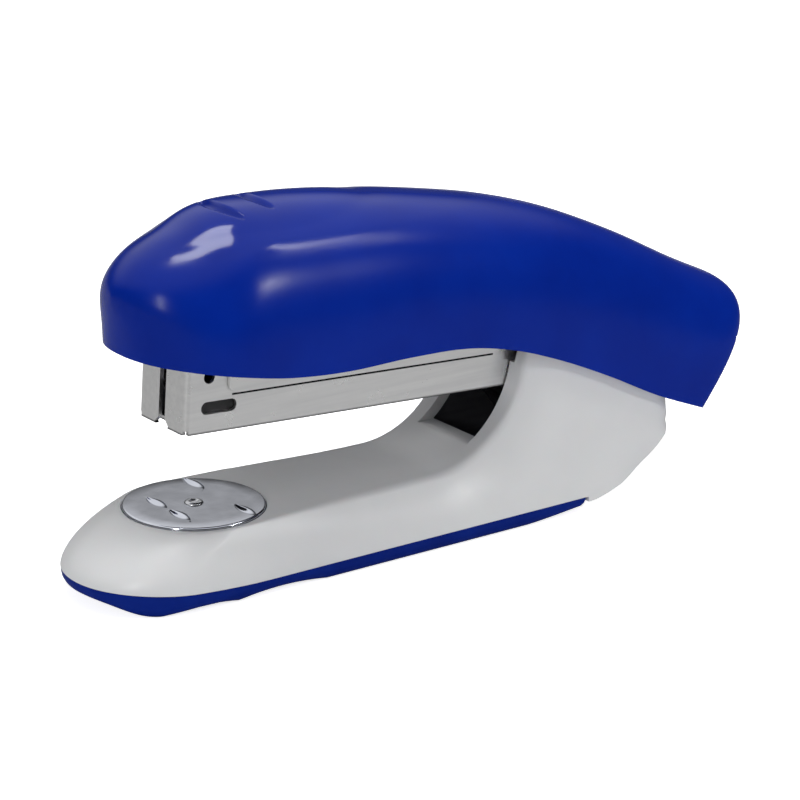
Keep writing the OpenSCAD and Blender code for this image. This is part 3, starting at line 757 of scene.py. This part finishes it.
def nose_line(crease, foot, low_z):
    """Side line of the nose: leaves the crease outwards and gets steeper towards the seam."""
    power = 2.4 - 0.75 * smooth_step(8, -6, crease[0])
    v = np.linspace(0, 1, SIDE_STEPS + 1)[:, None]
    share = 1 - (1 - v) ** power
    return crease + (np.array([*foot, low_z]) - crease) * np.hstack([share, share, v])


def flank_line(crease, low, inward, distance):
    """Side line of arm and upright: square to the outline at first, then straight to the lower edge."""
    start = crease[[0, 2]]
    turn_at = 0.28
    bend = start + inward * min(3, turn_at * np.linalg.norm(low - start))
    softness = 10 - 6.5 * smooth_step(98, 105, crease[0])
    line = []
    for v in np.linspace(0, 1, SIDE_STEPS + 1):
        down = max((v - turn_at) / (1 - turn_at), 0)
        u, z = start + (bend - start) * min(v / turn_at, 1) + (low - bend) * down
        line.append((u, side_half(u, z, crease[1], distance(u, z), softness), z))
    return np.array(line)


def round_crease(line, crease, hub, radius):
    """Row from the lower edge up the side line, over the rounded crease and in to the hub."""
    spoke = hub - crease
    inner = crease + spoke / np.linalg.norm(spoke) * radius
    steps = np.linalg.norm(np.diff(line, axis=0), axis=1)
    lengths = np.concatenate([[0], np.cumsum(steps)])

    def point_at(s):
        return np.array([np.interp(s, lengths, line[:, m]) for m in range(3)])

    radius = min(radius, lengths[-1] * 0.4)
    outer = point_at(radius)
    rest = radius + (lengths[-1] - radius) * np.linspace(0, 1, SIDE_STEPS + 1)[1:] ** 1.4
    side = np.array([point_at(s) for s in rest])
    turn = np.linspace(0, 1, EDGE_STEPS + 1)[:, None]
    rounded = (1 - turn) ** 2 * outer + 2 * turn * (1 - turn) * crease + turn**2 * inner
    top = inner + (hub - inner) * np.linspace(0, 1, TOP_STEPS + 1)[1:, None]
    return np.concatenate([side[::-1], rounded, top])


def base_rows():
    """Rows of the base's skin: each runs from the underside over the crease to the middle plane."""
    stations = np.array(upper_profile())
    profile = stations[:, :2]
    segments = list(zip(profile[:-1], profile[1:]))

    def distance(u, z):
        """How far a point of the middle plane is from the outline."""
        p = np.array([u, z])
        best = 1e9
        for a, b in segments:
            t = np.clip((p - a) @ (b - a) / ((b - a) @ (b - a)), 0, 1)
            best = min(best, np.linalg.norm(p - a - t * (b - a)))
        return best

    rows = []
    for crease, foot, hub, radius, i in row_ends(profile, stations[:, 2]):
        crease = np.array(crease)
        low_z = seam_height(foot[0]) if i is None else lower_edge(foot[0])
        line = nose_line(crease, foot, low_z)
        if i is not None:
            ahead = profile[min(i + 1, len(profile) - 1)] - profile[max(i - 1, 0)]
            inward = np.array([ahead[1], -ahead[0]]) / np.linalg.norm(ahead)
            flank = flank_line(crease, np.array([foot[0], low_z]), inward, distance)
            blend = smooth_step(ARM_START_U, ARM_END_U, crease[0])
            line = line * (1 - blend) + flank * blend
        row = round_crease(line, crease, np.array([*hub, crease[2]]), radius)
        u, y, z = row[0]
        under = (u, 0.68 * y, keel(u) if i is not None and u > ARM_END_U else z)
        rows.append(np.concatenate([[under], row]))
    return np.array(rows)


def base_body():
    """Closed outer solid of the shell, before anything is hollowed out."""
    half = base_rows()
    other = half[:, -2::-1].copy()
    other[..., 1] *= -1
    rows = np.concatenate([half, other], axis=1)
    count, cols = rows.shape[:2]
    faces = grid_faces(count, cols)
    for i in range(count - 1):
        faces.append((i * cols, i * cols + cols - 1, (i + 1) * cols + cols - 1, (i + 1) * cols))
    faces.append(tuple((count - 1) * cols + j for j in range(cols)))
    return new_mesh("shell", from_front(rows), faces, 40)


def underside_hollow():
    """Hollow below the arm and the uprights, round at the nose and stepped where screws pass."""
    half = BASE_HALF - BASE_WALL - 1.8
    ceiling = ARM_TOP - BASE_WALL - 0.6
    outline = [(-13.5, -1), (-13.5, 4.6), (-9.5, 7.6), (-4, ceiling), (105, ceiling),
               (105, 5.9), (102.6, 5.9), (101, 4.7), (84, 4.7), (84, -1)]
    plan = [(NOSE_CENTRE_U - half * math.sin(a), half * math.cos(a)) for a in np.linspace(0, math.pi, 33)]
    plan += [(120, -half), (120, half)]
    return combine(prism(outline, half), [plan_prism(plan, -2, 20)], "INTERSECT"), ceiling


def base_shell():
    """The outer solid less the hollow, the bay with room for channel and strip, seat and bores."""
    base = base_body()
    hollow, ceiling = underside_hollow()
    bay = [(105, ceiling - 0.4), (57, ceiling - 0.4)]
    bay += arc(SWEEP_CENTRE, SWEEP_R + BASE_WALL, -78, -8, 24)
    bay += [(77, 35), (80, 60), (112, 60), (112, 12), (105, 12)]
    seat_r = DISC_R + 0.15
    pin_place = from_front([PIN_U, 0, PIN[2]])
    disc_place = from_front([ANVIL_U, 0, 0])
    cutters = [
        hollow,
        prism(bay, 10),
        block(50, 90, 7.7, 15.9, 60),
        block(50, 90, 9.05, 30.5, 60),
        turned("seat", disc_profile(seat_r, DISC_TOP - DISC_T, 20), disc_place),
        turned("bore", disc_profile(1.3, 0, 20), disc_place, steps=48),
        turned("pin_bore", disc_profile(2.05, -20, 20), pin_place, "y", 48),
        turned("clip_room", disc_profile(4.2, 12.55, 30), pin_place, "y", 48),
        turned("clip_room", disc_profile(4.2, -30, -12.55), pin_place, "y", 48),
    ]
    combine(base, cutters, sharp=32)
    return finish_piece(base, "base_shell", "base")


def disc_profile(r, low, high):
    """Profile of a plain plug."""
    return [(0, low), (r, low), (r, high), (0, high)]


def pad_outline(inset, steps=40):
    """Half outline of the pad in plan, nose to rear, as (u, y)."""
    r = BASE_HALF - inset
    nose = [(NOSE_CENTRE_U - r * math.cos(a), r * math.sin(a)) for a in np.linspace(0, math.pi / 2, steps)]
    side = [(u, r) for u in np.linspace(2, PAD_END_U - 2.5, 60)]
    end = PAD_END_U - inset
    corner = [(end - 1 + math.sin(a), r - 1 + math.cos(a)) for a in np.linspace(0.1, math.pi / 2, 6)]
    return np.array(nose + side + corner)


# Grip hollows under the pad: centre, radius
PAD_HOLLOWS = [(-1.1, 40), (15.6, 60)]


def pad_floor(u):
    """Underside of the pad: two grip hollows, the raised rear edge and the lifted nose."""
    height = np.zeros_like(u)
    for centre, r in PAD_HOLLOWS:
        inside = np.clip(r * r - (u - centre) ** 2, 0, None)
        height = np.maximum(height, np.sqrt(inside) - r + 0.8)
    height = height + 1.1 * np.clip((u - 72) / 13.5, 0, 1) ** 1.3
    return height + 2.2 * smooth_step(-9, -18, u) ** 1.5


def base_pad():
    """Loft from the seam down to the rounded lower edge: rings of (inset, share of the height)."""
    rings = []
    levels = [(0.35, 1.0), (0.12, 0.96), (0.1, 0.7), (0.25, 0.4), (0.6, 0.16), (1.1, 0.03), (1.6, 0.0)]
    for inset, share in levels:
        plan = pad_outline(inset)
        low = pad_floor(plan[:, 0])
        high = seam_height(plan[:, 0]) - 0.05
        z = low + (high - low) * share
        rings.append(np.column_stack([plan, z]))
    half = np.array(rings)
    n = half.shape[1]
    other = half[:, ::-1].copy()
    other[..., 1] *= -1
    loops = np.concatenate([half, other], axis=1)
    cols = loops.shape[1]
    faces = grid_faces(len(levels), cols, close=True)
    for row in (0, len(levels) - 1):
        first, last = row * cols, row * cols + cols - 1
        faces += [(first + j, first + j + 1, last - 1 - j, last - j) for j in range(n - 1)]
    pad = new_mesh("pad", from_front(loops), faces, 40)
    hole = turned("hole", disc_profile(7, -1, 9), from_front([ANVIL_U, 0, 0]), steps=64)
    combine(pad, [hole], sharp=40)
    return finish_piece(pad, "base_pad", "base")


# ---------- anvil ----------


def lemon(centre, half_length, half_width, depth):
    """Spindle along y with pointed ends, flattened in z."""
    steps, sides = 24, 20
    bulge = (half_length**2 - half_width**2) / (2 * half_width)
    big = bulge + half_width
    points = []
    for k in range(steps + 1):
        y = half_length * (2 * k / steps - 1)
        r = math.sqrt(max(big * big - y * y, 0)) - bulge
        for m in range(sides):
            a = 2 * math.pi * m / sides
            points.append((r * math.cos(a), y, r * math.sin(a) * depth / half_width))
    return new_mesh("groove", np.array(points) + centre, grid_faces(steps + 1, sides, close=True))


def anvil_disc():
    """Disc with a rounded rim and two pairs of closing grooves: inward in front, outward behind."""
    fillet = [(DISC_R - 0.4 + x, z) for x, z in arc((0, DISC_TOP - 0.4), 0.4, 0, 90, 6)]
    low = DISC_TOP - DISC_T
    profile = [(1.3, low), (DISC_R, low)] + fillet + [(10, DISC_TOP), (5, DISC_TOP), (1.3, DISC_TOP)]
    disc = turned("disc", profile, from_front([ANVIL_U, 0, 0]), steps=160, sharp=40)
    cutters = []
    for side in (-1, 1):
        cutters.append(lemon(from_front([ANVIL_U - 5.5, side * 3.8, DISC_TOP + 0.1]), 3.5, 1.2, 0.75))
        cutters.append(lemon(from_front([ANVIL_U + 5.5, side * 8.3, DISC_TOP + 0.1]), 3.6, 1.15, 0.75))
    combine(disc, cutters, sharp=25)
    return finish_piece(disc, "anvil_disc", "anvil")


def anvil_stud():
    """Peened rivet: a low dome with a dimple from the tool."""
    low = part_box("anvil_stud")[0][2] / MM
    head = [(1.75, 0), (1.7, 0.16), (1.45, 0.34), (1.1, 0.43)]
    head += [(0.85, 0.4), (0.65, 0.2), (0.3, 0.14), (0, 0.12)]
    profile = [(0, low), (1.25, low), (1.25, DISC_TOP)] + [(r, DISC_TOP + h) for r, h in head]
    stud = turned("stud", profile, from_front([ANVIL_U, 0, 0]), steps=64, sharp=50)
    return finish_piece(stud, "anvil_stud", "anvil")


# ---------- springs ----------


def coil_piece(node, wire, path, bodies, ends=None, sides=10):
    points, faces = tube(path, wire, sides)
    return finish_piece(new_mesh(node, points, faces, 60), node, *bodies, ends=ends)


def drive_spring():
    """Stands on the magazine and pushes the handle up."""
    lo, hi = [np.array(corner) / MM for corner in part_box("drive_spring")]
    x, radius, wire, turns = -41.0, 3, 0.4, 4.5
    foot = (lo[2] - PIN[2] + x * math.sin(TILT)) / math.cos(TILT) + 0.15 + wire
    rise = hi[2] - lo[2] - 1.1
    ends = (at_pin([x, 0, foot + 2 * wire]), at_pin([x, 0, foot + rise - 2 * wire]))
    path = at_pin(helix(radius, rise, turns) + np.array([x, 0, foot]))
    coil_piece("drive_spring", wire, path, ("magazine", "handle"), ends)


def pusher_spring():
    """Runs on the rod from the pusher back to the stop, which it leans on."""
    start, rod_z, rise = -89.144, 2.2, 76.1
    radius, wire, turns = 1.45, 0.25, 34
    ends = (at_pin([start + 0.5, 0, rod_z]), at_pin([start + rise - 0.5, 0, rod_z]))
    coil = helix(radius, rise - 2 * wire, turns)
    path = at_pin(np.stack([start + wire + coil[:, 2], coil[:, 0], rod_z + coil[:, 1]], axis=-1))
    coil_piece("pusher_spring", wire, path, ("pusher", "magazine"), ends, sides=8)


def anvil_spring():
    """Holds the disc down from below the arm."""
    lo, hi = [np.array(corner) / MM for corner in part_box("anvil_spring")]
    radius, wire, turns = 2.1, 0.25, 3.5
    path = helix(radius, hi[2] - lo[2] - 2 * wire, turns) + from_front([ANVIL_U, 0, lo[2] + wire])
    coil_piece("anvil_spring", wire, path, ("anvil",), sides=8)


def leaf_spring():
    """Bent strip from the frame's floor up to the channel's underside."""
    foot_z = 7.45
    path = [(101, foot_z), (95, foot_z), (89, foot_z)] + arc((89, foot_z + 7), 7, -97, -165, 9)
    path += [(78, 18.5), (74.9, 22.2)] + arc((71.9, 22.35), 2.6, 8, 130, 8)
    path = np.array(path)
    ahead = np.gradient(path, axis=0)
    ahead /= np.linalg.norm(ahead, axis=1)[:, None]
    out = np.column_stack([-ahead[:, 1], ahead[:, 0]])
    half_w, half_t, chamfer = 4, 0.25, 0.15
    section = [(-half_w, -0.6), (-half_w, 0.6), (-half_w + chamfer, 1), (half_w - chamfer, 1),
               (half_w, 0.6), (half_w, -0.6), (half_w - chamfer, -1), (-half_w + chamfer, -1)]
    points = []
    for p, o in zip(path, out):
        for y, share in section:
            q = p + o * share * half_t
            points.append((q[0], y, q[1]))
    n = len(section)
    faces = grid_faces(len(path), n, close=True)
    faces += [tuple(range(n)), tuple(range(len(points) - 1, len(points) - 1 - n, -1))]
    leaf = new_mesh("leaf", from_front(points), faces, 40)
    ends = (from_front([82, 0, 9.5]), from_front([75, 0, 21.5]))
    return finish_piece(leaf, "lift_spring", "base", "magazine", ends=ends)


# ---------- CAD parts that are shown as they are ----------

# Width of the broken edges, in millimetres
EDGE = {
    "magazine_channel": 0.16, "magazine_frame": 0.22, "staple_rail": 0.12, "rod_stop": 0.12,
    "staple_pusher": 0.25, "handle_lever": 0.15, "driver_blade": 0.06, "base_frame": 0.15,
    "base_screws": 0.1, "cover_screws": 0.1, "hinge_pin": 0.1, "hinge_clips": 0.08,
    "spring_rivets": 0.15, "channel_rivets": 0.06, "blade_rivets": 0.06, "pusher_rod": 0.1,
    "anvil_knob": 0.25,
}


def dress_cad_part(node):
    """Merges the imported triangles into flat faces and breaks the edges."""
    obj = frame["nodes"][node]
    weld = obj.modifiers.new("weld", "WELD")
    weld.merge_threshold = 1e-6
    flatten = obj.modifiers.new("flatten", "DECIMATE")
    flatten.decimate_type = "DISSOLVE"
    flatten.angle_limit = math.radians(1)
    bevel(obj, EDGE[node])
    even = obj.modifiers.new("even", "WEIGHTED_NORMAL")
    even.mode = "FACE_AREA"
    even.weight = 100
    even.keep_sharp = True
    obj.data.shade_smooth()
    paint(obj, SLOT_OF[node])


# ---------- stage, light and camera ----------


def floor():
    """White table that stays dim in reflections."""
    bpy.ops.mesh.primitive_plane_add(size=6, location=(0, 0, -0.0002))
    plane = bpy.context.object
    plane.name = "floor"
    n = Finish("floor_white")
    path = n.add("ShaderNodeLightPath").outputs
    pale = n.mix(n.spread(n.noise(3, 3), 0, 1), (0.9, 0.9, 0.9, 1), (0.92, 0.92, 0.92, 1))
    n.shade(Base_Color=n.mix(path["Is Glossy Ray"], pale, (0.45, 0.45, 0.45, 1)))
    n.shade(Roughness=0.7, Specular_IOR_Level=0.2)
    glow = n.spread(path["Is Camera Ray"], 0, 0.8, (0, 1))
    n.shade(Emission_Color=(1, 1, 1, 1), Emission_Strength=glow)
    plane.data.materials.append(n.material)


def softbox(name, place, target, size, power):
    light = bpy.data.lights.new(name, "AREA")
    light.shape = "RECTANGLE"
    light.size, light.size_y = size
    light.energy = power
    obj = bpy.data.objects.new(name, light)
    bpy.context.scene.collection.objects.link(obj)
    obj.location = place
    obj.rotation_euler = (Vector(target) - Vector(place)).to_track_quat("-Z", "Y").to_euler()


def studio():
    """White room whose reflections are dark near the floor and bright overhead and behind."""
    world = bpy.data.worlds.new("studio")
    world.use_nodes = True
    n = Nodes(world.node_tree)
    outwards = n.add("ShaderNodeTexCoord").outputs["Generated"]
    direction = n.add("ShaderNodeSeparateXYZ", Vector=outwards).outputs
    leaning = n.math("MULTIPLY_ADD", direction["Y"], 0.25, direction["Z"])
    ramp = n.add("ShaderNodeMapRange", Value=leaning, From_Min=0.4, From_Max=0.75, To_Min=0.06, To_Max=1.2)
    ramp.interpolation_type = "SMOOTHSTEP"
    path = n.add("ShaderNodeLightPath").outputs
    seen = n.choose(path["Is Glossy Ray"], 0.25, ramp.outputs["Result"])
    background = world.node_tree.nodes["Background"].inputs
    n.feed(background["Strength"], n.choose(path["Is Camera Ray"], seen, 1.0))
    background["Color"].default_value = (1, 1, 1, 1)
    scene = bpy.context.scene
    scene.world = world
    softbox("left", (-0.72, -0.36, 0.36), (0, 0, 0.04), (0.08, 0.3), 1.6)
    softbox("front", (0.36, -0.62, 0.36), (0, 0, 0.05), (0.08, 0.08), 1.05)
    softbox("zenith", (-0.03, 0.02, 0.85), (0, 0, 0.03), (0.2, 0.34), 3.6)
    softbox("right", (0.43, -0.33, 0.56), (0, 0, 0.05), (0.06, 0.2), 0.5)
    scene.view_settings.view_transform = "Standard"
    scene.view_settings.look = "None"


def camera():
    """Long lens from the front left, slightly above."""
    azimuth, elevation, roll = math.radians(-37.2), math.radians(18.8), math.radians(0.82)
    distance, lens = 0.616, 148.6
    back = Vector((math.sin(azimuth) * math.cos(elevation), -math.cos(azimuth) * math.cos(elevation),
                   math.sin(elevation)))
    level = Vector((math.cos(azimuth), math.sin(azimuth), 0))
    rise = back.cross(level)
    right = math.cos(roll) * level + math.sin(roll) * rise
    up = math.cos(roll) * rise - math.sin(roll) * level
    data = bpy.data.cameras.new("camera")
    data.lens = lens
    data.sensor_width = 36
    obj = bpy.data.objects.new("camera", data)
    bpy.context.scene.collection.objects.link(obj)
    target = Vector(from_front([52.95, 0, 24.4])) * MM
    turn = Matrix((right, up, back)).transposed().to_4x4()
    obj.matrix_world = Matrix.Translation(target + distance * back) @ turn
    bpy.context.scene.camera = obj


# ---------- assembly ----------

handle_cover()
base_shell()
base_pad()
anvil_disc()
anvil_stud()
anvil_spring()
drive_spring()
pusher_spring()
leaf_spring()
for part_name in EDGE:
    dress_cad_part(part_name)
floor()
studio()
camera()
